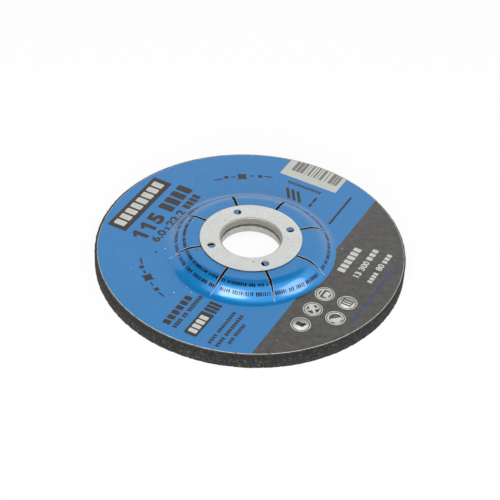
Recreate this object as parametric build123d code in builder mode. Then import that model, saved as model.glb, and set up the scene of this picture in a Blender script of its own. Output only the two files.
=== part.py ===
"""Depressed-centre grinding disc for an angle grinder, 115 x 6.0 x 22.23 mm.

Four pieces are pressed together and cured: the resin-bonded abrasive body with its raised hub,
the paper label that covers the back and wraps the hub, and a flanged steel ring from each side
that lines the bore. The disc lies on its working face with the hub up. The origin is on the axis
of the bore, in the plane of the working face, and +Z points out of the back.
"""

from build123d import *
import os
from math import radians, sqrt, tan

os.makedirs("parts", exist_ok=True)

# The whole disc, in millimetres
disc_diameter = 115.0
disc_thickness = 6.0  # at the rim, with the label
hub_rise = 4.6  # how far the centre is pressed up, which is the depth of the recess
bore_diameter = 22.23

# Hub, as seen on the back
hub_flat_radius = 22.3  # where the flat of the hub starts to bend down
hub_slope = 38.0  # degrees from the flat
hub_bend = 8.3
foot_bend = 5.6

# Recess on the working side
recess_roof_bend = 2.0
recess_mouth_bend = 8.0

# Edges of the abrasive body
rim_chamfer = 0.4
bore_chamfer = 0.5
bead_recess = 0.15  # the mix between the two collars stands back from them by this much

# Glass net in the working face: yarns left proud, with a shallow pocket in each mesh
net_pitch = 5.08  # five meshes to the inch
net_yarn_width = 1.3
net_relief = 0.2
net_border = 0.6  # plain face beside the rim and the recess

# Paper label
label_thickness = 0.12
label_margin = 0.3  # bare rim around the label
label_hole_radius = 12.3
slit_angles = (19.8, 63.0, 107.5, 152.2, 198.5, 245.4, 288.4, 333.0)  # not quite even
slit_width_inside = 1.2
slit_width_at_bend = 0.9
slit_length = 19.2

# Steel rings that line the bore
ring_sheet = 0.4
ring_bend = 0.7  # outer radius of the turn from flange to collar
ring_edge_chamfer = 0.1
back_ring_diameter = 38.0
back_collar_length = 2.7
front_ring_diameter = 36.0
front_collar_length = 3.0
collar_clearance = 0.05

# Lock holes punched through the flange of the back ring
lock_hole_count = 4
lock_hole_diameter = 2.7
lock_hole_circle_radius = 15.4
lock_hole_angle = 21.3
lock_hole_chamfer = 0.15

# Levels and radii that follow from these
body_wall = disc_thickness - label_thickness
body_rim_radius = disc_diameter / 2
bore_radius = bore_diameter / 2
body_bore_radius = bore_radius + ring_sheet + collar_clearance
label_radius = body_rim_radius - label_margin
hub_back = hub_rise + disc_thickness
half_slope = tan(radians(hub_slope / 2))
hub_corner = hub_flat_radius + hub_bend * half_slope
foot_corner = hub_corner + hub_rise / tan(radians(hub_slope))
recess_shift = body_wall * half_slope
mouth_radius = foot_corner - recess_shift + recess_mouth_bend * half_slope
back_ring_face = hub_back + ring_sheet
front_ring_face = hub_rise - ring_sheet


def back_line(lift, inner_radius, outer_radius):
    """Draw the line of the back, lifted square to the pressed body, from the bore to the rim."""
    shift = lift * half_slope
    return FilletPolyline(
        (inner_radius, hub_rise + body_wall + lift),
        (hub_corner + shift, hub_rise + body_wall + lift),
        (foot_corner + shift, body_wall + lift),
        (outer_radius, body_wall + lift),
        radius=[hub_bend + lift, foot_bend - lift],
    )


def recess_line(inner_radius, outer_radius):
    """Draw the line of the working side, one wall thickness under the back."""
    return FilletPolyline(
        (inner_radius, hub_rise),
        (hub_corner - recess_shift, hub_rise),
        (foot_corner - recess_shift, 0),
        (outer_radius, 0),
        radius=[recess_roof_bend, recess_mouth_bend],
    )


def ring_line(face_level, inward, ring_radius, collar_length):
    """Draw a flange and its collar. Inward is 1 where the collar points up and -1 where down."""
    collar_level = face_level + inward * collar_length
    seat_level = face_level + inward * ring_sheet
    shown = FilletPolyline(
        (bore_radius, collar_level),
        (bore_radius, face_level),
        (ring_radius, face_level),
        radius=ring_bend,
    )
    seated = FilletPolyline(
        (bore_radius + ring_sheet, collar_level),
        (bore_radius + ring_sheet, seat_level),
        (ring_radius, seat_level),
        radius=ring_bend - ring_sheet,
    )
    Line(shown @ 0, seated @ 0)
    Line(shown @ 1, seated @ 1)


# Abrasive body: grit, resin and glass net pressed to one dished disc. The mix fills the gap
# between the two collars, and the net shows in the flat of the working face.
bead_bottom = front_ring_face + front_collar_length + collar_clearance
bead_height = back_ring_face - back_collar_length - collar_clearance - bead_bottom
mesh_reach = (net_pitch - net_yarn_width) / sqrt(2)
net_inner_radius = mouth_radius + net_border + mesh_reach
net_outer_radius = body_rim_radius - rim_chamfer - net_border - mesh_reach
net_rows = 2 * int(body_rim_radius / net_pitch) + 1
net_meshes = [
    mesh
    for mesh in GridLocations(net_pitch, net_pitch, net_rows, net_rows)
    if net_inner_radius < mesh.position.length < net_outer_radius
]
with BuildPart() as abrasive_body:
    with BuildSketch(Plane.XZ) as body_section:
        with BuildLine():
            back = back_line(0, body_bore_radius, body_rim_radius)
            working = recess_line(body_bore_radius, body_rim_radius)
            Line(back @ 0, working @ 0)
            Line(back @ 1, working @ 1)
        make_face()
        chamfer(body_section.vertices().group_by(Axis.X)[-1], length=rim_chamfer)
        chamfer(body_section.vertices().group_by(Axis.X)[0], length=bore_chamfer)
    revolve(axis=Axis.Z)
    with BuildSketch(Plane.XY.offset(bead_bottom)):
        Circle(body_bore_radius)
        Circle(bore_radius + bead_recess, mode=Mode.SUBTRACT)
    extrude(amount=bead_height)
    with BuildSketch(Plane.XY):
        with Locations(*net_meshes):
            Rectangle(net_pitch - net_yarn_width, net_pitch - net_yarn_width)
    extrude(amount=net_relief, mode=Mode.SUBTRACT)
abrasive_body.part.label = "abrasive_body"
export_step(abrasive_body.part, "parts/abrasive_body.step")

# Label: printed paper over the whole back, slit from its hole so that it wraps the hub
with BuildPart() as label:
    with BuildSketch(Plane.XZ):
        with BuildLine():
            glued = back_line(0, label_hole_radius, label_radius)
            printed = back_line(label_thickness, label_hole_radius, label_radius)
            Line(glued @ 0, printed @ 0)
            Line(glued @ 1, printed @ 1)
        make_face()
    revolve(axis=Axis.Z)
    with BuildSketch(Plane.XY):
        with Locations(*[Location((0, 0, 0), (0, 0, angle)) for angle in slit_angles]):
            Polygon(
                (label_hole_radius - slit_width_inside, slit_width_inside / 2),
                (label_hole_radius - slit_width_inside, -slit_width_inside / 2),
                (hub_corner, -slit_width_at_bend / 2),
                (label_hole_radius + slit_length, 0),
                (hub_corner, slit_width_at_bend / 2),
                align=None,
            )
    extrude(amount=hub_back + label_thickness, mode=Mode.SUBTRACT)
label.part.label = "label"
export_step(label.part, "parts/label.step")

# Back ring: a pressed flange on the label with its collar down the bore and four lock holes
with BuildPart() as back_ring:
    with BuildSketch(Plane.XZ):
        with BuildLine():
            ring_line(back_ring_face, -1, back_ring_diameter / 2, back_collar_length)
        make_face()
    revolve(axis=Axis.Z)
    chamfer(
        back_ring.faces().sort_by(Axis.Z)[-1].outer_wire().edges(),
        length=ring_edge_chamfer,
    )
    with BuildSketch(Plane.XY.offset(hub_back)):
        with PolarLocations(lock_hole_circle_radius, lock_hole_count, start_angle=lock_hole_angle):
            Circle(lock_hole_diameter / 2)
    extrude(amount=ring_sheet, mode=Mode.SUBTRACT)
    lock_hole_rims = back_ring.faces().sort_by(Axis.Z)[-1].inner_wires().edges()
    chamfer(
        lock_hole_rims.filter_by(lambda rim: rim.radius < bore_radius),
        length=lock_hole_chamfer,
    )
back_ring.part.label = "back_ring"
export_step(back_ring.part, "parts/back_ring.step")

# Front ring: the plain counterpart in the recess, with its collar up the bore
with BuildPart() as front_ring:
    with BuildSketch(Plane.XZ):
        with BuildLine():
            ring_line(front_ring_face, 1, front_ring_diameter / 2, front_collar_length)
        make_face()
    revolve(axis=Axis.Z)
    chamfer(
        front_ring.faces().sort_by(Axis.Z)[0].outer_wire().edges(),
        length=ring_edge_chamfer,
    )
front_ring.part.label = "front_ring"
export_step(front_ring.part, "parts/front_ring.step")
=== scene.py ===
"""Looks of the depressed-centre grinding disc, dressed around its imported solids.

The disc lies on its working face with the hub and the printed label up. The axis of the bore is Z,
and the camera looks along +Y. Lengths are written in millimetres and multiplied by mm.
"""

from math import atan2, cos, degrees, hypot, pi, radians, sin, sqrt, tan
from random import Random

import bpy
from mathutils import Matrix, Vector


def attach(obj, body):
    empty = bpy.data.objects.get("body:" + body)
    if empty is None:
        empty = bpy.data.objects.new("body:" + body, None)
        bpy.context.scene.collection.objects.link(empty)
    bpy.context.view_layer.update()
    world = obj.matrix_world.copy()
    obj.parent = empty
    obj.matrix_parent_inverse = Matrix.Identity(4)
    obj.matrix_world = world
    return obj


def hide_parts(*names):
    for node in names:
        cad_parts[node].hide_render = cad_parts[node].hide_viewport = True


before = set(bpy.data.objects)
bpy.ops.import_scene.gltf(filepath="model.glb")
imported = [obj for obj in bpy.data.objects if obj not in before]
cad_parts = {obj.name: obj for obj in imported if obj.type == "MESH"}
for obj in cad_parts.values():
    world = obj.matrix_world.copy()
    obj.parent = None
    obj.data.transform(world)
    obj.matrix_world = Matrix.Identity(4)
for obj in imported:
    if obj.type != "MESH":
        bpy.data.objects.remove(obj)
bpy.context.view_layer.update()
mm = 0.001

# Camera: 40 degrees above the table in front of the disc, 600 mm off, and turned 3 degrees on its
# own line of sight.
camera_rise = radians(40.3)
camera_roll = radians(3.01)
camera_reach = 600 * mm
camera_aim = Vector((-0.14, -0.2, 5.0)) * mm
camera_side = Vector((0, -cos(camera_rise), sin(camera_rise)))
bpy.ops.object.camera_add()
camera = bpy.context.object
camera.matrix_world = (
    Matrix.Translation(camera_aim + camera_reach * camera_side)
    @ Matrix.Rotation(pi / 2 - camera_rise, 4, "X")
    @ Matrix.Rotation(camera_roll, 4, "Z")
)
camera.data.lens = 116.68
camera.data.clip_start = 0.01
camera.data.clip_end = 20
bpy.context.scene.camera = camera
bpy.context.scene.view_settings.view_transform = "Standard"


# Studio: a white table in a white room. Over it hangs a dark ceiling that only the gloss of the
# disc sees, which turns the bends of the hub deep blue. Soft boxes light it from the front and the
# right, and two wide fills lift its sides.
class Wire:
    """A socket in the nodes of a material or of the world, with maths that reads as Python."""

    def __init__(self, tree, socket=None):
        self.tree = tree
        self.socket = socket

    def node(self, kind, inputs, output=0, stops=None, **settings):
        """Add a node with its settings, then its inputs as values or wires."""
        made = self.tree.nodes.new("ShaderNode" + kind)
        for setting, choice in settings.items():
            setattr(made, setting, choice)
        if stops:
            ramp = made.color_ramp.elements
            while len(ramp) < len(stops):
                ramp.new(1.0)
            for stop, (place, shade) in zip(ramp, stops):
                stop.position = place
                stop.color = shade
        for name, value in inputs.items():
            if isinstance(value, Wire):
                self.tree.links.new(value.socket, made.inputs[name])
            else:
                made.inputs[name].default_value = value
        return Wire(self.tree, made.outputs[output])

    def mix(self, under, over):
        """Lay one colour over another by this amount."""
        return self.node("Mix", {0: self, 6: under, 7: over}, output=2, data_type="RGBA")

    def into(self, shader, name):
        """Lead this wire into an input of a shader."""
        self.tree.links.new(self.socket, shader.inputs[name])

    def maths(self, operation, *values):
        return self.node("Math", dict(enumerate(values)), operation=operation)

    def __add__(self, other):
        return self.maths("ADD", self, other)

    def __sub__(self, other):
        return self.maths("SUBTRACT", self, other)

    def __rsub__(self, other):
        return self.maths("SUBTRACT", other, self)

    def __mul__(self, other):
        return self.maths("MULTIPLY", self, other)

    def __truediv__(self, other):
        return self.maths("DIVIDE", self, other)

    def __lt__(self, other):
        return self.maths("LESS_THAN", self, other)

    def __gt__(self, other):
        return self.maths("GREATER_THAN", self, other)

    def __abs__(self):
        return self.maths("ABSOLUTE", self)

    def either(self, other):
        return self.maths("MAXIMUM", self, other)

    __radd__ = __add__
    __rmul__ = __mul__


def shade(red, green, blue):
    """Turn a colour as it is seen, 0 to 255, into the light that a shader works with."""
    seen = [level / 255 for level in (red, green, blue)]
    return (*[c / 12.92 if c < 0.04 else ((c + 0.055) / 1.055) ** 2.4 for c in seen], 1.0)


white = (1, 1, 1, 1)
room = bpy.data.worlds.new("white_room")
bpy.context.scene.world = room
room.use_nodes = True
room_wire = Wire(room.node_tree)
seen_by_eye = room_wire.node("LightPath", {}, output="Is Camera Ray")
seen_in_gloss = room_wire.node("LightPath", {}, output="Is Glossy Ray")
seen_through = room_wire.node("LightPath", {}, output="Is Transmission Ray")
seen_directly = seen_by_eye.either(seen_in_gloss).either(seen_through)
room_way = room_wire.node("TexCoord", {}, output="Generated")
room_aside = abs(room_wire.node("SeparateXYZ", {"Vector": room_way}, output="X"))
room_height = room_wire.node("SeparateXYZ", {"Vector": room_way}, output="Z")
room_glow = 0.1 + (0.05 + 0.95 * room_aside) * (room_height < 0.0)
room_strength = seen_directly + (1 - seen_directly) * room_glow
background = room.node_tree.nodes["Background"]
background.inputs["Color"].default_value = white
room_strength.into(background, "Strength")

bpy.ops.object.select_all(action="DESELECT")
bpy.ops.mesh.primitive_circle_add(vertices=96, radius=4, fill_type="NGON")
table = bpy.context.object
table.name = "table"
table_finish = bpy.data.materials.new("white_table")
table_finish.use_nodes = True
table_wire = Wire(table_finish.node_tree)
table_paint = table_wire.node("BsdfDiffuse", {"Color": (0.9, 0.9, 0.9, 1)})
table_glow = table_wire.node("Emission", {"Color": white, "Strength": 1.03})
table_seen = table_wire.node("LightPath", {}, output="Is Camera Ray")
table_in_gloss = table_wire.node("LightPath", {}, output="Is Glossy Ray")
table_share = table_seen * 0.88 + table_in_gloss * 0.4
table_look = table_wire.node("MixShader", {0: table_share, 1: table_paint, 2: table_glow})
table_below = table_wire.node("NewGeometry", {}, output="Backfacing")
table_clear = table_wire.node("BsdfTransparent", {})
table_look = table_wire.node("MixShader", {0: table_below, 1: table_look, 2: table_clear})
table_look.into(table_finish.node_tree.nodes["Material Output"], "Surface")
table.data.materials.append(table_finish)
table.visible_diffuse = False

bpy.ops.object.select_all(action="DESELECT")
bpy.ops.mesh.primitive_circle_add(vertices=64, radius=1, fill_type="NGON")
ceiling = bpy.context.object
ceiling.name = "ceiling"
ceiling.location = (-0.75, 0.4, 1.5)
ceiling.scale = (1.75, 0.66, 1)
ceiling.rotation_euler.z = radians(8)
bpy.ops.object.transform_apply(location=True, rotation=True, scale=True)
ceiling_finish = bpy.data.materials.new("dark_ceiling")
ceiling_finish.use_nodes = True
ceiling_paint = ceiling_finish.node_tree.nodes["Principled BSDF"]
ceiling_paint.inputs["Base Color"].default_value = (0.02, 0.02, 0.02, 1)
ceiling.data.materials.append(ceiling_finish)
ceiling.visible_camera = False
ceiling.visible_diffuse = False
ceiling.visible_shadow = False


def soft_box(name, turn, rise, reach, width, height, level, gloss=True):
    """Hang a lamp, in degrees round from the front and above the table, aimed at the disc."""
    turn, rise = radians(turn), radians(rise)
    away = Vector((sin(turn) * cos(rise), -cos(turn) * cos(rise), sin(rise)))
    bpy.ops.object.light_add(type="AREA", location=away * reach)
    lamp = bpy.context.object
    lamp.name = name
    lamp.rotation_euler = away.to_track_quat("Z", "Y").to_euler()
    lamp.data.shape = "RECTANGLE"
    lamp.data.size = width
    lamp.data.size_y = height
    lamp.data.energy = level * pi * width * height
    lamp.visible_camera = False
    lamp.visible_glossy = gloss


soft_box("front_box", turn=-26, rise=58, reach=1.3, width=0.62, height=0.3, level=10.6)
soft_box("right_box", turn=76, rise=49, reach=1.3, width=0.62, height=0.34, level=5.8)
soft_box("low_fill", turn=-5, rise=20, reach=1.5, width=1.2, height=0.7, level=7.5, gloss=False)
soft_box("rear_fill", turn=190, rise=34, reach=1.7, width=2.4, height=1.4, level=0.3, gloss=False)


# Abrasive body: coarse grit and black resin, pressed around glass nets and cured to one dished
# disc. Its rim and working face are rough, and the label covers its back.
disc_radius = 57.5
disc_thickness = 6.0
hub_rise = 4.6
hub_flat_radius = 22.3
hub_slope = 38
hub_bend = 8.3
foot_bend = 5.6
label_thickness = 0.12
body_wall = disc_thickness - label_thickness
half_slope = tan(radians(hub_slope / 2))
hub_corner = hub_flat_radius + hub_bend * half_slope
foot_corner = hub_corner + hub_rise / tan(radians(hub_slope))
body_bore_radius = 11.565
bead_radius = 11.265


def arc(centre, radius, first, last, pieces=10):
    """List points along an arc in the plane of radius and height, from one angle to another."""
    turns = [radians(first + (last - first) * i / pieces) for i in range(pieces + 1)]
    return [(centre[0] + radius * cos(t), centre[1] + radius * sin(t)) for t in turns]


def run(start, end, pitch):
    """List points along a straight line, about a pitch apart, without its ends."""
    over, up = end[0] - start[0], end[1] - start[1]
    pieces = max(1, round(hypot(over, up) / pitch))
    shares = [i / pieces for i in range(1, pieces)]
    return [(start[0] + over * share, start[1] + up * share) for share in shares]


def back_line(lift, inner, outer):
    """List the pressed line of the back, lifted square to the body, from the bore to the rim."""
    shift = lift * half_slope
    top = hub_rise + body_wall + lift
    low = body_wall + lift
    bend, foot = hub_bend + lift, foot_bend - lift
    hub_centre = (hub_corner + shift - bend * half_slope, top - bend)
    foot_centre = (foot_corner + shift + foot * half_slope, low + foot)
    return [
        (inner, top),
        *arc(hub_centre, bend, 90, 90 - hub_slope),
        *arc(foot_centre, foot, 270 - hub_slope, 270),
        (outer, low),
    ]


def turned(name, outline, steps):
    """Turn a closed outline of radii and heights once about the axis of the bore."""
    bpy.ops.object.select_all(action="DESELECT")
    bpy.ops.mesh.primitive_circle_add(vertices=len(outline))
    piece = bpy.context.object
    piece.name = name
    for vertex, (radius, height) in zip(piece.data.vertices, outline):
        vertex.co = Vector((radius, 0, height)) * mm
    lathe = piece.modifiers.new("lathe", "SCREW")
    lathe.steps = lathe.render_steps = steps
    lathe.use_merge_vertices = True
    lathe.merge_threshold = 0.002 * mm
    bpy.ops.object.modifier_apply(modifier=lathe.name)
    bpy.ops.object.mode_set(mode="EDIT")
    bpy.ops.mesh.select_all(action="SELECT")
    bpy.ops.mesh.normals_make_consistent(inside=False)
    bpy.ops.object.mode_set(mode="OBJECT")
    return piece


net_floor = 0.22
net_inner, net_outer = 32.4, 56.5
flat_roof_reach = 19.0
bead_low, bead_high = 7.25, 8.25
bead_middle = (bead_low + bead_high) / 2
roof_bend, mouth_bend = 2, 8
recess_shift = body_wall * half_slope
roof_corner = hub_corner - recess_shift
mouth_corner = foot_corner - recess_shift
roof_centre = (roof_corner - roof_bend * half_slope, hub_rise - roof_bend)
mouth_centre = (mouth_corner + mouth_bend * half_slope, mouth_bend)
rim_top, rim_low = (disc_radius, body_wall - 0.2), (disc_radius, 0.2)
body_outline = [
    (body_bore_radius, bead_high),
    *back_line(0, body_bore_radius, disc_radius)[:-1],
    (disc_radius - 3, body_wall),
    (disc_radius - 1.2, body_wall),
    (disc_radius - 0.7, body_wall),
    (disc_radius - 0.2, body_wall),
    rim_top,
    *run(rim_top, rim_low, 0.4),
    rim_low,
    (disc_radius - 0.2, 0),
    (net_outer, 0),
    (net_outer - 0.1, net_floor),
    *run((net_outer - 0.1, net_floor), (net_inner + 0.1, net_floor), 0.5),
    (net_inner + 0.1, net_floor),
    (net_inner, 0),
    *arc(mouth_centre, mouth_bend, 270, 270 - hub_slope, 8),
    *arc(roof_centre, roof_bend, 90 - hub_slope, 90, 5),
    (flat_roof_reach, hub_rise),
    (body_bore_radius, hub_rise),
    (body_bore_radius, bead_low),
    (bead_radius, bead_low),
    (bead_radius, bead_middle),
    (bead_radius, bead_high),
]
abrasive_body = turned("abrasive_disc", body_outline, steps=832)


def alone(piece):
    """Select one piece and nothing else."""
    bpy.ops.object.select_all(action="DESELECT")
    bpy.context.view_layer.objects.active = piece
    piece.select_set(True)


def roughened(piece, vertices, kind, grain, depth, sink=1.0):
    """Move some of a piece's vertices along their normals by a grainy pattern.

    The pattern is as deep as depth says, and sink is the share of it that goes inwards.
    """
    patch = piece.vertex_groups.new(name="rough")
    patch.add(vertices, 1.0, "REPLACE")
    pattern = bpy.data.textures.new("grain", type=kind)
    pattern.noise_scale = grain * mm
    wear = piece.modifiers.new("roughened", "DISPLACE")
    wear.texture = pattern
    wear.texture_coords = "LOCAL"
    wear.vertex_group = patch.name
    wear.mid_level = sink
    wear.strength = depth * mm
    alone(piece)
    bpy.ops.object.modifier_apply(modifier=wear.name)
    piece.vertex_groups.clear()


def vertices_where(piece, chosen):
    """List the vertices whose radius and height, in millimetres, a rule picks."""
    places = [v.co / mm for v in piece.data.vertices]
    return [i for i, p in enumerate(places) if chosen(hypot(p.x, p.y), p.z)]


rim_starts = disc_radius - 0.25
bead_edge = 0.05
rim = vertices_where(abrasive_body, lambda r, z: r > rim_starts and z < body_wall - 0.1)
working = vertices_where(abrasive_body, lambda r, z: 30.0 < r < rim_starts and z < 0.5)
bead = vertices_where(
    abrasive_body,
    lambda r, z: r < bead_radius + 0.1 and bead_low + bead_edge < z < bead_high - bead_edge,
)
roughened(abrasive_body, rim, "VORONOI", grain=0.8, depth=0.32, sink=0.62)
roughened(abrasive_body, rim, "CLOUDS", grain=1.6, depth=0.3, sink=0.55)
roughened(abrasive_body, working, "VORONOI", grain=0.9, depth=0.16)
roughened(abrasive_body, bead, "CLOUDS", grain=0.8, depth=0.2, sink=0.3)


def kept_in_mould(piece):
    """Press back what stands out of the disc's rim or under its working face."""
    for vertex in piece.data.vertices:
        reach = hypot(vertex.co.x, vertex.co.y)
        if reach > disc_radius * mm:
            vertex.co.xy *= disc_radius * mm / reach
        vertex.co.z = max(vertex.co.z, 0)


kept_in_mould(abrasive_body)


def smooth(piece, angle=35):
    """Shade a piece smoothly except at edges sharper than the angle."""
    alone(piece)
    bpy.ops.object.shade_smooth_by_angle(angle=radians(angle))


smooth(abrasive_body, 50)


def finish(name, **constants):
    """Start a material: give it, its shader, and a wire with the place on the piece."""
    material = bpy.data.materials.new(name)
    material.use_nodes = True
    shader = material.node_tree.nodes["Principled BSDF"]
    for socket, value in constants.items():
        shader.inputs[socket.replace("_", " ")].default_value = value
    place = Wire(material.node_tree).node("TexCoord", {}, output="Object")
    return material, shader, place


def noise(place, size, detail=3):
    """Give soft random patches of about this size in millimetres."""
    inputs = {"Vector": place, "Scale": 1 / (size * mm), "Detail": detail}
    return place.node("TexNoise", inputs, output="Fac")


def grains(place, size, output="Distance"):
    """Give random cells of about this size in millimetres."""
    return place.node("TexVoronoi", {"Vector": place, "Scale": 1 / (size * mm)}, output=output)


def coordinate(place, axis):
    """Give one coordinate of a place."""
    return place.node("SeparateXYZ", {"Vector": place}, output=axis)


def flat_reach(place):
    """Give the distance from the axis of the bore."""
    flat = place.node("VectorMath", {0: place, 1: (1, 1, 0)}, operation="MULTIPLY")
    return place.node("VectorMath", {0: flat}, output="Value", operation="LENGTH")


def clamped(wire):
    """Keep a wire between 0 and 1."""
    return wire.node("Clamp", {"Value": wire})


def painted_shade_high(colour, place):
    """Darken a colour towards the top of the rim: painted shade under the edge of the label."""
    share_up = coordinate(place, "Z") / (disc_thickness * mm)
    on_rim = flat_reach(place) > (disc_radius - 0.5) * mm
    return (on_rim * clamped(0.62 * share_up - 0.16)).mix(colour, shade(6, 6, 6))


def raised(height, depth, under=None):
    """Give a bump of this depth in millimetres from a height between 0 and 1."""
    inputs = {"Height": height, "Distance": depth * mm}
    if under:
        inputs["Normal"] = under
    return height.node("Bump", inputs)


gap_stain = 0.25
grit, grit_shader, grit_place = finish("resin_and_grit", IOR=1.42)
cell = grit_place.node("SeparateColor", {"Color": grains(grit_place, 0.5, "Color")}, output="Red")
cell_colour = cell.node(
    "ValToRGB",
    {"Fac": cell},
    stops=[
        (0.0, shade(33, 33, 34)),
        (0.35, shade(45, 45, 45)),
        (0.65, shade(57, 57, 56)),
        (0.9, shade(73, 73, 72)),
        (0.99, shade(112, 110, 102)),
    ],
)
resin = noise(grit_place, 1.4)
grit_colour = (resin * 2.4 - 0.6).mix(shade(39, 39, 39), cell_colour)
bare_back = coordinate(grit_place, "Z") > (body_wall - 0.02) * mm
grit_colour = bare_back.mix(grit_colour, shade(74, 72, 69))
in_gap = flat_reach(grit_place) < (bead_radius + gap_stain) * mm
grit_colour = (in_gap * noise(grit_place, 0.8)).mix(grit_colour, shade(104, 100, 92))
# Painted shade darkens the rim towards its top, under the edge of the label.
painted_shade_high(grit_colour, grit_place).into(grit_shader, "Base Color")
grit_roughness = 0.7 + 0.3 * noise(grit_place, 0.5)
grit_roughness.into(grit_shader, "Roughness")
fine_grit = raised(noise(grit_place, 0.16, 2), 0.05)
raised(grains(grit_place, 0.7), 0.24, fine_grit).into(grit_shader, "Normal")
abrasive_body.data.materials.append(grit)
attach(abrasive_body, "root")
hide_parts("abrasive_body")

# Loose-looking grains: sharp broken grit that the pressing leaves standing in the rim, half sunk
# in the resin. Most are black, some grey, and a few are clear enough to glint.
grain_sizes = (0.32, 0.9)
rim_band = (0.42, 5.4)
grain_kinds = {
    "black_grains": (2100, shade(31, 31, 32), shade(58, 58, 59), 0.42),
    "grey_grains": (900, shade(58, 58, 58), shade(84, 84, 83), 0.45),
    "bright_grains": (170, shade(96, 95, 88), shade(168, 165, 152), 0.3),
}
dice = Random(11)


def knocked_ball(subdivisions, radius, least):
    """Make a small ball and knock each of its points in or out."""
    bpy.ops.object.select_all(action="DESELECT")
    bpy.ops.mesh.primitive_ico_sphere_add(subdivisions=subdivisions, radius=radius)
    ball = bpy.context.object
    for vertex in ball.data.vertices:
        vertex.co *= dice.uniform(least, 1.1)
    return ball


def copied(model):
    """Copy a model with its own mesh."""
    copy = model.copy()
    copy.data = model.data.copy()
    bpy.context.collection.objects.link(copy)
    return copy


def joined(name, pieces):
    """Make one piece of several, with its place in its mesh."""
    bpy.ops.object.select_all(action="DESELECT")
    for piece in pieces:
        piece.select_set(True)
    bpy.context.view_layer.objects.active = pieces[0]
    bpy.ops.object.transform_apply(location=True, rotation=True, scale=True)
    if len(pieces) > 1:
        bpy.ops.object.join()
    pieces[0].name = name
    return pieces[0]


def mottled(place, size, detail, dark, light):
    """Give two shades in soft patches of about this size in millimetres."""
    return (noise(place, size, detail) * 2 - 0.5).mix(dark, light)


for grain_name, (count, dark_side, light_side, gloss) in grain_kinds.items():
    model = knocked_ball(1, 0.5, 0.72)
    scattered = []
    for _ in range(count):
        copy = copied(model)
        size = dice.uniform(*grain_sizes) * (0.6 if grain_name == "bright_grains" else 1)
        turn = dice.uniform(0, 2 * pi)
        height = dice.uniform(*rim_band)
        radius = disc_radius - 0.48 * size - dice.uniform(0.0, 0.1)
        spot = Vector((radius * cos(turn), radius * sin(turn), height)) * mm
        spin = Matrix.Rotation(dice.uniform(0, 6), 4, Vector((dice.random(), dice.random(), 0.4)))
        stretch = Matrix.Diagonal((1, dice.uniform(0.6, 1), dice.uniform(0.65, 1), 1))
        copy.matrix_world = Matrix.Translation(spot) @ spin @ stretch @ Matrix.Scale(size * mm, 4)
        scattered.append(copy)
    bpy.data.objects.remove(model)
    heap = joined(grain_name, scattered)
    kept_in_mould(heap)
    stone, stone_shader, stone_place = finish(grain_name, Roughness=gloss, IOR=1.36)
    stone_colour = mottled(stone_place, 0.9, 2, dark_side, light_side)
    # The grains get the same painted shade towards the top of the rim.
    painted_shade_high(stone_colour, stone_place).into(stone_shader, "Base Color")
    raised(noise(stone_place, 0.12, 2), 0.03).into(stone_shader, "Normal")
    heap.data.materials.append(stone)
    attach(heap, "root")

# Glass nets: the last net lies in the working face, woven five yarns to the inch and soaked in
# resin, with the grit standing between its yarns.
yarn_pitch, yarn_width, yarn_depth = 5.08, 1.3, 0.12
yarn_rise, yarn_crown, yarn_floor = 0.045, 0.06, 0.055
yarn_step = 0.85


def thickened(piece, depth):
    """Raise a flat shape to a closed one of this depth, in the units of its own mesh."""
    alone(piece)
    bpy.ops.object.mode_set(mode="EDIT")
    bpy.ops.mesh.select_all(action="SELECT")
    bpy.ops.mesh.extrude_region_move(TRANSFORM_OT_translate={"value": (0, 0, depth)})
    bpy.ops.mesh.select_all(action="SELECT")
    bpy.ops.mesh.normals_make_consistent(inside=False)
    bpy.ops.object.mode_set(mode="OBJECT")


def yarn(offset, start, end, crosswise, first_over):
    """Lay one flat yarn at an offset from the axis, over and under those that it crosses."""
    length = end - start
    steps = max(6, round(length / yarn_step))
    bpy.ops.object.select_all(action="DESELECT")
    bpy.ops.mesh.primitive_grid_add(x_subdivisions=steps, y_subdivisions=4, size=1)
    strand = bpy.context.object
    for vertex in strand.data.vertices:
        along = start + (vertex.co.x + 0.5) * length
        across = vertex.co.y * yarn_width
        wave = yarn_rise * cos(pi * along / yarn_pitch) * (1 if first_over else -1)
        crown = yarn_crown * (2 * across / yarn_width) ** 2
        height = yarn_floor + wave + crown
        place = (along, offset + across) if not crosswise else (offset + across, along)
        vertex.co = Vector((*place, height)) * mm
    thickened(strand, yarn_depth * mm)
    return strand


for net_name, crosswise in (("net_warp", False), ("net_weft", True)):
    strands = []
    rows = int((net_outer + 0.3) / yarn_pitch)
    for row in range(-rows - 1, rows + 1):
        offset = (row + 0.5) * yarn_pitch
        if abs(offset) > net_outer - 1:
            continue
        outer_end = sqrt((net_outer + 0.1) ** 2 - offset**2)
        inner_end = sqrt(max(0, (net_inner - 0.1) ** 2 - offset**2))
        over = (row % 2 == 0) != crosswise
        ends = [(-outer_end, -inner_end), (inner_end, outer_end)]
        if inner_end < 1:
            ends = [(-outer_end, outer_end)]
        strands += [yarn(offset, start, end, crosswise, over) for start, end in ends]
    net = joined(net_name, strands)
    smooth(net, 60)
    glass, glass_shader, glass_place = finish(net_name, Roughness=0.42, IOR=1.5)
    drawn = (20, 1, 1) if not crosswise else (1, 20, 1)
    stretch = {"Vector": glass_place, "Scale": tuple(1 / d for d in drawn)}
    threads = noise(glass_place.node("Mapping", stretch), 0.14, 2)
    wear = noise(glass_place, 5, 4) * 5 - 2.3
    soaked = (threads * 1.6 - 0.3).mix(shade(46, 42, 38), shade(88, 80, 68))
    (clamped(wear) * 0.5).mix(soaked, shade(150, 138, 112)).into(glass_shader, "Base Color")
    raised(threads, 0.04).into(glass_shader, "Normal")
    net.data.materials.append(glass)
    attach(net, "root")

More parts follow.
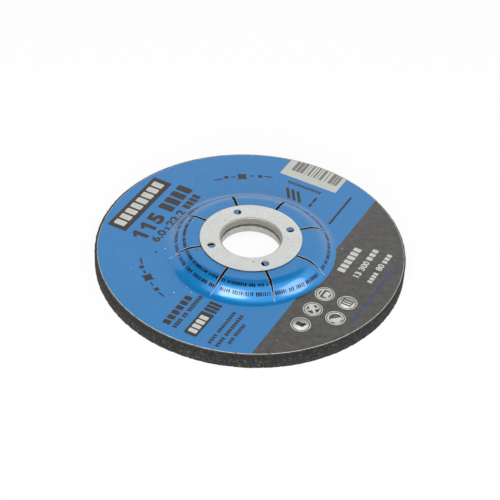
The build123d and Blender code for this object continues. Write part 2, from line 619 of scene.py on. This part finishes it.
# Label: coated paper, printed blue with a dark field on one side, pressed on with the disc. Eight
# slits let it wrap the hub, and its cut edges show the white of the paper.
label_radius = 56.75
label_hole_radius = 12.3
trimmed_edge = 0.17
laid_aside = Vector((0.2, 0.2, 0))
paper_steps = 512
slit_root_reach, slit_tip_reach = 11.1, 31.5
half_gap, half_gap_at_bend = 0.64, 0.56
slits = [
    (19.9, 20.1),
    (63.0, 63.4),
    (107.5, 107.2),
    (152.2, 151.2),
    (198.4, 197.2),
    (245.7, 244.2),
    (288.6, 288.0),
    (333.2, 333.2),
]


def label_outline(inner, outer):
    """Close the outline of the paper from its printed side to its glued side."""
    printed = back_line(label_thickness, inner, outer - 0.04)
    glued = back_line(0, inner, outer)
    beside = [(r, printed[-1][1]) for r in (36.0, 42.0, 48.0, 54.0) if r < outer]
    return [*printed[:-1], *beside, printed[-1], (outer, printed[-1][1] - 0.04), *reversed(glued)]


def slit_cutter(name, inset):
    """Stand up the eight wedges that the slits take out of the paper, narrower by an inset."""
    taper = half_gap_at_bend / (slit_tip_reach - hub_corner)
    wedges = []
    for root_turn, tip_turn in slits:
        tip = Matrix.Rotation(radians(tip_turn - root_turn), 2) @ Vector((slit_tip_reach, 0))
        tip_inset = tip * (1 - inset / taper / slit_tip_reach)
        corners = [
            (slit_root_reach, half_gap - inset),
            (slit_root_reach, inset - half_gap),
            (hub_corner, inset - half_gap_at_bend),
            tuple(tip_inset),
            (hub_corner, half_gap_at_bend - inset),
        ]
        bpy.ops.object.select_all(action="DESELECT")
        bpy.ops.mesh.primitive_circle_add(vertices=5, fill_type="NGON")
        wedge = bpy.context.object
        for vertex, corner in zip(wedge.data.vertices, corners):
            vertex.co = Vector((*corner, 3)) * mm
        wedge.rotation_euler.z = radians(root_turn)
        thickened(wedge, 10 * mm)
        wedges.append(wedge)
    return joined(name, wedges)


def cut(piece, cutter, operation="DIFFERENCE"):
    """Cut a piece with another, or keep what they share."""
    knife = piece.modifiers.new("cut", "BOOLEAN")
    knife.operation = operation
    knife.object = cutter
    alone(piece)
    bpy.ops.object.modifier_apply(modifier=knife.name)


def edge_laid_aside(piece):
    """Move the outer edge of the paper to where it was laid, a little off the axis."""
    for vertex in piece.data.vertices:
        if hypot(vertex.co.x, vertex.co.y) > 55 * mm:
            vertex.co += laid_aside * mm


printed_outline = label_outline(label_hole_radius, label_radius - trimmed_edge)
label = turned("label_print", printed_outline, paper_steps)
whole_slits = slit_cutter("whole_slits", 0.0)
cut(label, whole_slits)
edge_laid_aside(label)
smooth(label, 30)

reading = radians(63)
dark_field_edge = -27.5
dark_field_inner = 31.7
coated, coated_shader, coated_place = finish(
    "printed_coated_paper",
    IOR=1.42,
    Coat_Weight=0.9,
    Coat_Roughness=0.1,
)
turn_back = {"Vector": coated_place, "Rotation": (0, 0, -reading)}
print_place = coated_place.node("Mapping", turn_back)
below_edge = coordinate(print_place, "Y") < dark_field_edge * mm
dark_field = below_edge * (flat_reach(coated_place) > dark_field_inner * mm)
speckle = noise(coated_place, 0.35, 4)
drift = noise(coated_place, 9, 2)
blue = (drift * 1.4 - 0.2).mix(shade(4, 124, 193), shade(11, 131, 201))
blue = ((speckle - 0.46) * 1.6).mix(blue, shade(5, 92, 150))
fine_specks = noise(coated_place, 0.5, 5) > 0.7
blue = (fine_specks * 0.45).mix(blue, shade(10, 60, 104))
scuff = noise(coated_place, 2.2, 6)
black = (scuff * 3 - 1).mix(shade(36, 34, 32), shade(66, 64, 60))
pale_specks = noise(coated_place, 0.6, 5) > 0.66
black = (pale_specks * 0.35).mix(black, shade(120, 118, 110))
black = ((speckle - 0.46) * 1.2).mix(black, shade(30, 28, 26))
dark_field.mix(blue, black).into(coated_shader, "Base Color")
(0.35 - 0.35 * dark_field).into(coated_shader, "Metallic")
(0.32 + 0.14 * speckle).into(coated_shader, "Roughness")
peel = raised(noise(coated_place, 1.1, 2), 0.006)
raised(noise(coated_place, 0.2, 3), 0.0042, peel).into(coated_shader, "Normal")
label.data.materials.append(coated)
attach(label, "root")
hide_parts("label")

# Slit beds: a thin sheet of near-black resin with painted shade, laid in the slits where the paper
# has opened over the hub. It is darker than the body's back and stands in for the shade down in
# each slit. Each bed fills its slit between the white lips of the paper.
paper_edge = 0.08
slit_trim_reach = 33.0
bed_line = back_line(0.004, label_hole_radius, slit_trim_reach)
bed_top_line = back_line(0.03, label_hole_radius, slit_trim_reach)
open_slits = slit_cutter("open_slits", paper_edge)
shaded_slit_beds = turned("shaded_slit_beds", [*bed_line, *reversed(bed_top_line)], 256)
cut(shaded_slit_beds, open_slits, "INTERSECT")
bed, bed_shader, bed_place = finish("slit_resin_and_shade", Roughness=0.9, IOR=1.15)
# Painted shade: the bed is near-black, darker than the back of the body, so the slits look deep.
bed_resin_and_shade = mottled(bed_place, 0.5, 3, shade(4, 4, 4), shade(26, 24, 22))
bed_resin_and_shade.into(bed_shader, "Base Color")
raised(noise(bed_place, 0.2, 3), 0.05).into(bed_shader, "Normal")
shaded_slit_beds.data.materials.append(bed)
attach(shaded_slit_beds, "root")

# Paper edges: the white core of the paper, which shows along its outer edge and on both lips of
# each slit, and is torn grey in places.
slit_edges = turned("slit_edges", label_outline(label_hole_radius, slit_trim_reach), paper_steps)
cut(slit_edges, whole_slits, "INTERSECT")
cut(slit_edges, open_slits)
bpy.data.objects.remove(whole_slits)
bpy.data.objects.remove(open_slits)
outer_edge = turned(
    "outer_edge",
    [
        (label_radius - trimmed_edge, disc_thickness),
        (label_radius - 0.03, disc_thickness),
        (label_radius, disc_thickness - 0.04),
        (label_radius, body_wall),
        (label_radius - trimmed_edge, body_wall),
    ],
    paper_steps,
)
edge_laid_aside(outer_edge)
paper_edges = joined("paper_edges", [outer_edge, slit_edges])
smooth(paper_edges, 30)
core, core_shader, core_place = finish("paper_core", Roughness=0.8)
torn = noise(core_place, 1.6, 4) > 0.62
torn.mix(shade(206, 204, 190), shade(132, 130, 112)).into(core_shader, "Base Color")
raised(noise(core_place, 0.15, 2), 0.03).into(core_shader, "Normal")
paper_edges.data.materials.append(core)
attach(paper_edges, "root")

# Back ring: a flange of zinc-plated sheet steel on the hub, with its collar down the bore and four
# lock holes punched through it, whose edges the punch has drawn in.
ring_sheet = 0.4
ring_bend = 0.7
bore_radius = 11.115
ring_radius = 19.0
ring_face = 11.0
back_collar_end = 8.3
lock_hole_turn, lock_hole_reach = 21.3, 15.4
lock_hole_radius = 1.35
bend_centre = (bore_radius + ring_bend, ring_face - ring_bend)
back_ring = turned(
    "steel_ring",
    [
        (bore_radius, back_collar_end),
        *arc(bend_centre, ring_bend, 180, 90, 8),
        *arc((ring_radius - 0.12, ring_face - 0.12), 0.12, 90, 0, 3),
        (ring_radius, ring_face - ring_sheet),
        *arc(bend_centre, ring_bend - ring_sheet, 90, 180, 6),
        (bore_radius + ring_sheet, back_collar_end),
    ],
    288,
)
drawn_in = 0.3
punch_low, punch_high = ring_face - 1.5, ring_face + 1
punch_outline = [
    (0, punch_low),
    (lock_hole_radius, punch_low),
    *arc((lock_hole_radius + drawn_in, ring_face - drawn_in), drawn_in, 180, 90, 6),
    (lock_hole_radius + drawn_in, punch_high),
    (0, punch_high),
]
punches = []
for quarter in range(4):
    hole_turn = Matrix.Rotation(radians(lock_hole_turn + 90 * quarter), 3, "Z")
    spot = hole_turn @ Vector((lock_hole_reach, 0, 0))
    punch = turned("punch", punch_outline, 48)
    punch.location = (spot.x * mm, spot.y * mm, 0)
    punches.append(punch)
punch = joined("punch", punches)
cut(back_ring, punch)
bpy.data.objects.remove(punch)
smooth(back_ring, 40)
level_faces = back_ring.modifiers.new("level_faces", "WEIGHTED_NORMAL")
level_faces.keep_sharp = True
bpy.ops.object.modifier_apply(modifier=level_faces.name)

zinc, zinc_shader, zinc_place = finish("zinc_plating", Metallic=1.0)
cloud = noise(zinc_place, 2.4, 5)
grain_cloud = noise(zinc_place, 0.5, 3)
plating = (cloud * 2 - 0.5).mix(shade(230, 232, 230), shade(243, 245, 243))
plating = ((grain_cloud - 0.4) * 1.9).mix(plating, shade(200, 201, 197))
spangle = noise(zinc_place, 0.28, 3) > 0.64
plating = (spangle * 0.5).mix(plating, shade(184, 186, 182))
for dot_x, dot_y, dot_size in ((1.3, -13.5, 0.26), (13.7, 0.1, 0.2), (-10.0, 9.1, 0.2)):
    dot_reach = zinc_place.node(
        "VectorMath",
        {0: zinc_place, 1: (dot_x * mm, dot_y * mm, ring_face * mm)},
        output="Value",
        operation="DISTANCE",
    )
    plating = (dot_reach < dot_size * mm).mix(plating, shade(70, 68, 66))
zinc_up = coordinate(zinc_place, "Z")
zinc_reach = flat_reach(zinc_place)
# Bore and bend darkened grey-beige: partly dull bent zinc, partly painted shade dimming the bend.
in_bore = zinc_reach < (bore_radius + 0.58) * mm
between_collars = 8 * mm
dull_and_shaded = (in_bore * (zinc_up > between_collars)) * (0.5 + 0.3 * grain_cloud)
dull_and_shaded = dull_and_shaded + (in_bore * (zinc_up < between_collars)) * (0.15 + 0.2 * grain_cloud)
plating = dull_and_shaded.mix(plating, shade(136, 128, 116))
in_back_ring = zinc_up > (ring_face - 1) * mm
# Painted shade: the drawn-in edges of the lock holes are darkened teal-grey.
near_hole = abs(zinc_reach - lock_hole_reach * mm) < 1.8 * mm
hole_edge_shade = near_hole * (zinc_up < (ring_face - 0.02) * mm)
plating = (hole_edge_shade * in_back_ring * 0.65).mix(plating, shade(52, 70, 74))
# Painted shadow: a dark line along the outer edge of the flange, where it stands over the label.
edge_shadow = (zinc_reach > (ring_radius - 0.1) * mm) * in_back_ring
plating = (edge_shadow * 0.9).mix(plating, shade(48, 52, 56))
plating.into(zinc_shader, "Base Color")
(0.34 + 0.16 * grain_cloud + 0.2 * in_bore).into(zinc_shader, "Roughness")
rolled = raised(noise(zinc_place, 0.9, 4), 0.012)
raised(noise(zinc_place, 0.18, 2), 0.004, rolled).into(zinc_shader, "Normal")
back_ring.data.materials.append(zinc)
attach(back_ring, "root")
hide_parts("back_ring")

# Front ring: the plain counterpart in the recess, pressed of the same sheet and plated the same.
# Only its collar shows from above, low in the bore.
front_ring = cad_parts["front_ring"]
front_ring.data.materials.clear()
front_ring.data.materials.append(zinc)

# Bore crumbs: resin that the press has squeezed out of the gap between the two collars, over the
# edges of both.
crumb_count = 90
crumb_depth = 0.16
crumbs = []
for _ in range(crumb_count):
    crumb = knocked_ball(2, 0.5 * mm, 0.7)
    width, height = dice.uniform(0.3, 1.2), dice.uniform(0.15, 0.45)
    crumb.data.transform(Matrix.Diagonal((crumb_depth, width, height, 1)))
    level = bead_middle + dice.choice((-1, 1)) * dice.uniform(0.3, 0.58)
    crumb.data.transform(Matrix.Translation(Vector((bore_radius, 0, level)) * mm))
    crumb.data.transform(Matrix.Rotation(dice.uniform(0, 2 * pi), 4, "Z"))
    crumbs.append(crumb)
bore_crumbs = joined("bore_crumbs", crumbs)
crumb_resin, crumb_shader, crumb_place = finish("crumb_resin", Roughness=0.8, IOR=1.3)
crumb_colour = mottled(crumb_place, 0.4, 3, shade(40, 38, 36), shade(104, 100, 92))
crumb_colour.into(crumb_shader, "Base Color")
raised(noise(crumb_place, 0.15, 2), 0.04).into(crumb_shader, "Normal")
bore_crumbs.data.materials.append(crumb_resin)
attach(bore_crumbs, "root")

# Printing: the inks stand on the coated paper as thin films. Sizes are given as the print is read,
# along and up its own lines, and each film follows the paper over the foot of the hub.
ink_sunk = 0.01
ink_film = 0.02
lapped_ink = 0.024
over_ink = 0.035
reach_line = back_line(label_thickness, label_hole_radius, label_radius)


def label_height(reach):
    """Give the height of the printed side at a distance from the axis of the bore."""
    for (near, high), (far, low) in zip(reach_line, reach_line[1:]):
        if reach <= far:
            return high + (low - high) * max(0, reach - near) / (far - near)
    return disc_thickness


def bar(left, right, low, high, film=ink_film, corner=0.15):
    """Draw a flat bar with rounded corners."""
    bpy.ops.object.select_all(action="DESELECT")
    bpy.ops.mesh.primitive_plane_add(size=1)
    piece = bpy.context.object
    for vertex in piece.data.vertices:
        along = left if vertex.co.x < 0 else right
        vertex.co = Vector((along, low if vertex.co.y < 0 else high, 0))
    bpy.ops.object.mode_set(mode="EDIT")
    bpy.ops.mesh.select_all(action="SELECT")
    bpy.ops.mesh.bevel(offset=corner, segments=3, affect="VERTICES")
    bpy.ops.object.mode_set(mode="OBJECT")
    thickened(piece, ink_sunk + film)
    return piece


def blocks(left, right, low, high, groups, film=ink_film):
    """Draw a line of plain blocks, as many to each group as its number says."""
    gap = 0.7
    pitch = (right - left) / (sum(groups) + gap * (len(groups) - 1))
    drawn = []
    start = left
    for group in groups:
        for _ in range(group):
            drawn.append(bar(start, start + 0.74 * pitch, low, high, film, 0.12 * pitch))
            start += pitch
        start += gap * pitch
    return drawn


def figures(text, left, right, low, high, bold=0.03):
    """Set plain figures in a box."""
    bpy.ops.object.select_all(action="DESELECT")
    bpy.ops.object.text_add()
    piece = bpy.context.object
    piece.data.body = text
    piece.data.offset = bold
    piece.data.resolution_u = 5
    piece.data.extrude = 0.5
    bpy.ops.object.convert(target="MESH")
    piece = bpy.context.object
    bpy.ops.object.mode_set(mode="EDIT")
    bpy.ops.mesh.select_all(action="SELECT")
    bpy.ops.mesh.remove_doubles(threshold=0.0005)
    bpy.ops.mesh.normals_make_consistent(inside=False)
    bpy.ops.object.mode_set(mode="OBJECT")
    places = [v.co.copy() for v in piece.data.vertices]
    least = [min(p[i] for p in places) for i in range(3)]
    most = [max(p[i] for p in places) for i in range(3)]
    boxes = ((left, right), (low, high), (0, ink_sunk + ink_film))
    for vertex, place in zip(piece.data.vertices, places):
        shares = [(place[i] - least[i]) / (most[i] - least[i]) for i in range(3)]
        vertex.co = Vector([a + (b - a) * s for (a, b), s in zip(boxes, shares)])
    return piece


def disc(along, up, inner, outer):
    """Draw a flat ring, or a whole disc where the inner radius is nothing."""
    top = ink_sunk + ink_film
    piece = turned("disc", [(inner, 0), (outer, 0), (outer, top), (inner, top)], 40)
    for vertex in piece.data.vertices:
        vertex.co = vertex.co / mm + Vector((along, up, 0))
    return piece


def slanted(along, up, length, width, turn, film=ink_film):
    """Draw a bar by its middle, length and width, turned about that middle."""
    piece = bar(-length / 2, length / 2, -width / 2, width / 2, film, min(0.15, 0.3 * width))
    spin = Matrix.Translation((along, up, 0)) @ Matrix.Rotation(radians(turn), 4, "Z")
    piece.data.transform(spin)
    return piece


def printed(name, pieces, ink, turned_by=reading):
    """Join drawn shapes, turn them to the way the print is read and lay them on the paper."""
    film = joined(name, pieces)
    film.data.transform(Matrix.Rotation(turned_by, 4, "Z"))
    for vertex in film.data.vertices:
        x, y, z = vertex.co
        vertex.co = Vector((x, y, label_height(hypot(x, y)) - ink_sunk + z)) * mm
    film.data.materials.append(ink)
    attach(film, "root")


def ink(name, thin, full, gloss=0.3, sheen=1.6):
    """Make an ink that is mottled where the paper drinks it, with the paper's own gloss."""
    material, shader, place = finish(name, IOR=sheen)
    mottle = noise(place, 0.4, 4)
    drunk = noise(place, 3, 2)
    tone = (mottle * 0.9 + drunk * 0.7 - 0.35).mix(thin, full)
    tone.into(shader, "Base Color")
    (gloss + 0.15 * mottle).into(shader, "Roughness")
    raised(noise(place, 0.22, 2), 0.003).into(shader, "Normal")
    return material


black_ink = ink("black_ink", shade(38, 30, 34), shade(20, 14, 14))
pale_ink = ink("pale_ink", shade(198, 200, 192), shade(222, 224, 216), 0.4)
violet_ink = ink("violet_ink", shade(34, 58, 116), shade(40, 74, 146))

# Size of the disc, printed large opposite the dark field: a dark plate with a row of pale blocks,
# the diameter under it, then the thickness and the bore.
size_print = [
    bar(-16.2, 17.4, 44.3, 52.4, corner=0.2),
    bar(-15.5, -13.7, 35.4, 41.8, corner=0.1),
    slanted(-15.9, 40.3, 2.6, 1.3, 32, lapped_ink),
    bar(-10.0, -8.2, 35.4, 41.8, corner=0.1),
    slanted(-10.4, 40.3, 2.6, 1.3, 32, lapped_ink),
    figures("5", -6.3, -1.2, 35.3, 41.8, 0.05),
    *blocks(2.4, 19.6, 35.5, 41.7, [4]),
    figures("6.0", -15.5, -8.4, 30.6, 34.1),
    figures("x", -7.7, -5.6, 30.6, 33.0),
    figures("22.2", -4.9, 5.4, 30.6, 34.1),
    *blocks(7.4, 17.0, 30.7, 34.0, [4]),
]
printed("size_print", size_print, black_ink)
printed("plate_blocks", blocks(-14.2, 16.2, 46.3, 50.9, [8], over_ink), pale_ink)

# Ornament: a four-pointed lozenge with concave sides between two small ones, strung on dashes
# along an arc on each side of the hub, and printed in the black ink.
ornament_middle = 0.9
hollow_sides = 0.78


def lozenge(along, up, size):
    """Draw a lozenge whose four sides curve inwards."""
    bpy.ops.object.select_all(action="DESELECT")
    bpy.ops.mesh.primitive_circle_add(vertices=32, radius=1, fill_type="NGON")
    piece = bpy.context.object
    lean = atan2(up, along) + pi / 4
    for vertex in piece.data.vertices:
        turn = atan2(vertex.co.y, vertex.co.x)
        spread = abs(cos(turn)) ** hollow_sides + abs(sin(turn)) ** hollow_sides
        side = size / spread ** (1 / hollow_sides)
        vertex.co = Vector((along + side * cos(turn + lean), up + side * sin(turn + lean), 0))
    thickened(piece, ink_sunk + ink_film)
    return piece


ornament = []
for side in (-1, 1):
    for along, up, size in ((34.9, 23.5, 2.6), (31.2, 28.5, 1.35), (38.7, 17.5, 1.35)):
        ornament.append(lozenge(ornament_middle + side * along, up, size))
    for along, up, length, turn in (
        (28.4, 30.4, 3.6, 42),
        (32.9, 26.2, 1.9, 51),
        (37.2, 20.5, 2.0, 60),
        (40.2, 14.6, 3.2, 68),
    ):
        ornament.append(slanted(ornament_middle + side * along, up, length, 0.6, -side * turn))
printed("ornament", ornament, black_ink)

# Rows beside the hub on the blue: lines of plain blocks in the black ink, with a dark box among
# them and a pale row in the box.
beside_hub = [
    *blocks(-51.5, -34.3, 4.0, 6.9, [6]),
    *blocks(-51.7, -32.4, 1.1, 2.8, [4, 2, 7]),
    bar(-52.0, -39.2, -7.1, -2.0),
    *blocks(-38.3, -32.7, -7.1, -2.1, [3]),
    *blocks(-52.3, -33.6, -13.1, -11.8, [4, 9]),
    *blocks(-52.3, -33.6, -16.2, -14.8, [4, 9]),
    *blocks(-48.8, -37.4, -19.1, -17.7, [3, 6]),
]
printed("beside_hub", beside_hub, black_ink)
printed("box_row", blocks(-50.6, -40.4, -6.2, -2.9, [4], over_ink), pale_ink)

# Back block: a pale panel that runs out at the edge of the label, with darker bars across it, a
# row of blocks beside it, three slanted bars and a thin rule.
panel_inner = 45.8
panel_outer = label_radius + 0.15
panel_width = 24.3
panel_bars_start = 49.8
bpy.ops.object.select_all(action="DESELECT")
bpy.ops.mesh.primitive_grid_add(x_subdivisions=6, y_subdivisions=24, size=1)
panel = bpy.context.object
for vertex in panel.data.vertices:
    up = vertex.co.y * panel_width
    edge = sqrt(panel_outer**2 - up**2)
    vertex.co = Vector((panel_inner + (vertex.co.x + 0.5) * (edge - panel_inner), up, 0))
thickened(panel, ink_sunk + ink_film)
printed("pale_panel", [panel], pale_ink)
panel_bars = []
for low, high in (
    (-10.5, -9.4),
    (-9.1, -8.3),
    (-8.0, -6.5),
    (-5.3, -4.9),
    (-3.8, -2.7),
    (-1.9, -1.6),
    (-0.9, -0.2),
    (0.5, 0.8),
    (1.6, 2.4),
    (3.3, 3.6),
    (4.4, 5.7),
    (6.0, 7.5),
    (7.8, 9.2),
):
    outer_end = sqrt(panel_outer**2 - max(low**2, high**2)) - 0.1
    panel_bars.append(bar(panel_bars_start, outer_end, low, high, over_ink, 0.05))
grey_ink = ink("grey_ink", shade(132, 128, 124), shade(112, 108, 104))
printed("panel_bars", panel_bars, grey_ink)
side_rows = [slanted(42.6, -7.0 + 1.03 * i, 1.5, 0.68, 0) for i in range(14)]
side_rows += [slanted(36.2, 3.4 - 2.3 * i, 6.8, 1.15, 33) for i in range(3)]
side_rows += [bar(32.9, 35.2, -7.9, -6.9), bar(36.0, 39.2, -7.9, -6.9)]
side_rows += [bar(27.6, 46.5, -19.1, -18.2)]
printed("side_rows", side_rows, black_ink)

# Dark field: pale figures for the speed with blocks beside them, five round signs, and a row of
# small violet dashes by the rim.
field_rows = [
    *blocks(5.5, 21.2, -36.0, -33.0, [6]),
    figures("13 300", 5.7, 15.6, -41.8, -39.3, 0.035),
    *blocks(16.6, 24.0, -41.7, -39.4, [3]),
    *blocks(5.4, 12.0, -47.1, -45.3, [4]),
    figures("80", 13.2, 17.0, -47.2, -44.7, 0.035),
    *blocks(18.0, 24.0, -47.1, -45.2, [3]),
]
printed("field_rows", field_rows, pale_ink)
sign_places = ((-27.2, -35.2), (-17.9, -35.2), (-8.5, -35.2), (-17.9, -44.2), (-8.5, -44.2))
signs = [disc(along, up, 3.3, 3.62) for along, up in sign_places]
signs += [
    disc(-27.2, -35.2, 0, 2.95),
    disc(-17.9, -35.2, 2.3, 2.95),
    slanted(-17.9, -35.2, 5.2, 0.8, -45),
    slanted(-17.0, -34.2, 2.4, 1.9, 45, lapped_ink),
    slanted(-18.8, -36.2, 2.0, 0.9, 45, lapped_ink),
    disc(-8.5, -35.2, 2.3, 2.95),
    slanted(-8.5, -33.9, 3.8, 0.55, 0),
    slanted(-8.5, -36.0, 3.0, 1.9, 0),
    disc(-17.9, -44.2, 2.3, 2.95),
    slanted(-18.7, -45.0, 4.0, 2.2, -45),
    disc(-8.5, -44.2, 0, 2.95),
]
printed("round_signs", signs, pale_ink)
sign_marks = [slanted(-27.2, -35.0, 1.9, 3.0, 0, over_ink)]
sign_marks += [slanted(-26.5, -36.3, 1.2, 1.0, 0, over_ink)]
sign_marks += [slanted(-9.7 + 1.2 * i, -44.2, 0.55, 2.8, 0, over_ink) for i in range(3)]
sign_marks += [slanted(-8.5, -44.2 + 1.75 * i, 3.7, 0.4, 0, over_ink) for i in (-1, 1)]
printed("sign_mark", sign_marks, black_ink)
brown_ink = ink("brown_ink", shade(120, 84, 66), shade(96, 64, 50))
printed("sign_smudge", [disc(-16.9, -43.6, 0, 0.75)], brown_ink)
printed("rim_dashes", blocks(-17.0, 16.5, -50.8, -49.95, [6, 5, 8, 4, 7]), violet_ink)

# Rows round the hub: two lines of plain ticks over its bend and slope, in uneven groups. The inner
# line runs over part of the hub, and the slits break both.
slope_ink = ink("slope_ink", shade(36, 10, 22), shade(10, 4, 8), 0.15, 1.36)
rows_aside = 0.7
tick_film = 1.3 * ink_film
slit_clearance = 0.5
tick_rows = (
    ("inner_ticks", 24.8, 25.95, 0.62, 0.8, 154, 289),
    ("outer_ticks", 27.7, 28.8, 0.56, 0.78, 0, 360),
)
for row_name, near, far, width, pitch, first, last in tick_rows:
    middle = (near + far) / 2
    bpy.ops.object.select_all(action="DESELECT")
    bpy.ops.mesh.primitive_grid_add(x_subdivisions=4, y_subdivisions=1, size=1)
    model = bpy.context.object
    for vertex in model.data.vertices:
        vertex.co = Vector((middle + vertex.co.x * (far - near), vertex.co.y * width, 0))
    thickened(model, ink_sunk + tick_film)
    ticks = []
    turn = first
    left_in_group = 5
    while turn < last - 1.5:
        spot = Vector((rows_aside + middle * cos(radians(turn)), middle * sin(radians(turn))))
        seen_turn = degrees(atan2(spot.y, spot.x)) % 360
        from_slits = [abs(seen_turn - slit) * pi / 180 * middle for slit, _ in slits]
        if min(from_slits) > slit_clearance + width / 2:
            tick = copied(model)
            squeeze = Matrix.Diagonal((1, dice.uniform(0.6, 1.15), 1, 1))
            aside = Matrix.Translation((rows_aside, 0, 0))
            tick.data.transform(aside @ Matrix.Rotation(radians(turn), 4, "Z") @ squeeze)
            ticks.append(tick)
        turn += degrees(pitch / middle)
        left_in_group -= 1
        if left_in_group == 0:
            turn += degrees(0.7 / middle)
            left_in_group = dice.randint(3, 10)
    bpy.data.objects.remove(model)
    printed(row_name, ticks, slope_ink, turned_by=0)

# Dust: pale and dark grains that lie loose on the label and the ring, as on a disc from the shelf.
# The large ones lie where they are seen, and the finest are scattered.
pale_dust = [
    (-21.8, 8.4, 0.26),
    (47.9, 25.1, 0.2),
    (33.9, 2.1, 0.2),
    (53.3, -3.0, 0.2),
    (31.5, -15.9, 0.2),
    (10.9, -49.0, 0.2),
    (-48.3, -7.6, 0.22),
    (-42.9, -15.1, 0.28),
    (-31.3, -3.5, 0.36),
    (-26.5, -27.1, 0.3),
    (-20.2, -26.5, 0.3),
    (-22.0, -24.0, 0.2),
]
dark_dust = [
    (-19.3, -8.2, 0.34),
    (-34.7, -5.3, 0.5),
    (-38.0, -6.8, 0.2),
    (-28.0, -28.5, 0.22),
    (20.0, -25.8, 0.22),
]
fine_dust_count = 90
for _ in range(fine_dust_count):
    reach, turn = sqrt(dice.uniform(19.5**2, 56**2)), dice.uniform(0, 2 * pi)
    chosen = pale_dust if dice.random() < 0.7 else dark_dust
    chosen.append((reach * cos(turn), reach * sin(turn), dice.uniform(0.07, 0.13)))
dust_kinds = (
    ("pale_dust", pale_dust, shade(168, 166, 158), shade(232, 230, 222)),
    ("dark_dust", dark_dust, shade(30, 26, 26), shade(62, 52, 50)),
)
for dust_name, grains_of_dust, dull_side, bright_side in dust_kinds:
    flecks = []
    for x, y, size in grains_of_dust:
        fleck = knocked_ball(2, size * mm, 0.75)
        flat = Matrix.Diagonal((1, dice.uniform(0.6, 0.9), 0.22, 1))
        spin = Matrix.Rotation(dice.uniform(0, pi), 4, "Z")
        spot = Vector((x, y, label_height(hypot(x, y)) + 0.1 * size)) * mm
        fleck.data.transform(Matrix.Translation(spot) @ spin @ flat)
        flecks.append(fleck)
    dust = joined(dust_name, flecks)
    speck, speck_shader, speck_place = finish(dust_name, Roughness=0.8)
    speck_colour = mottled(speck_place, 0.3, 2, dull_side, bright_side)
    speck_colour.into(speck_shader, "Base Color")
    raised(noise(speck_place, 0.08, 2), 0.02).into(speck_shader, "Normal")
    dust.data.materials.append(speck)
    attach(dust, "root")
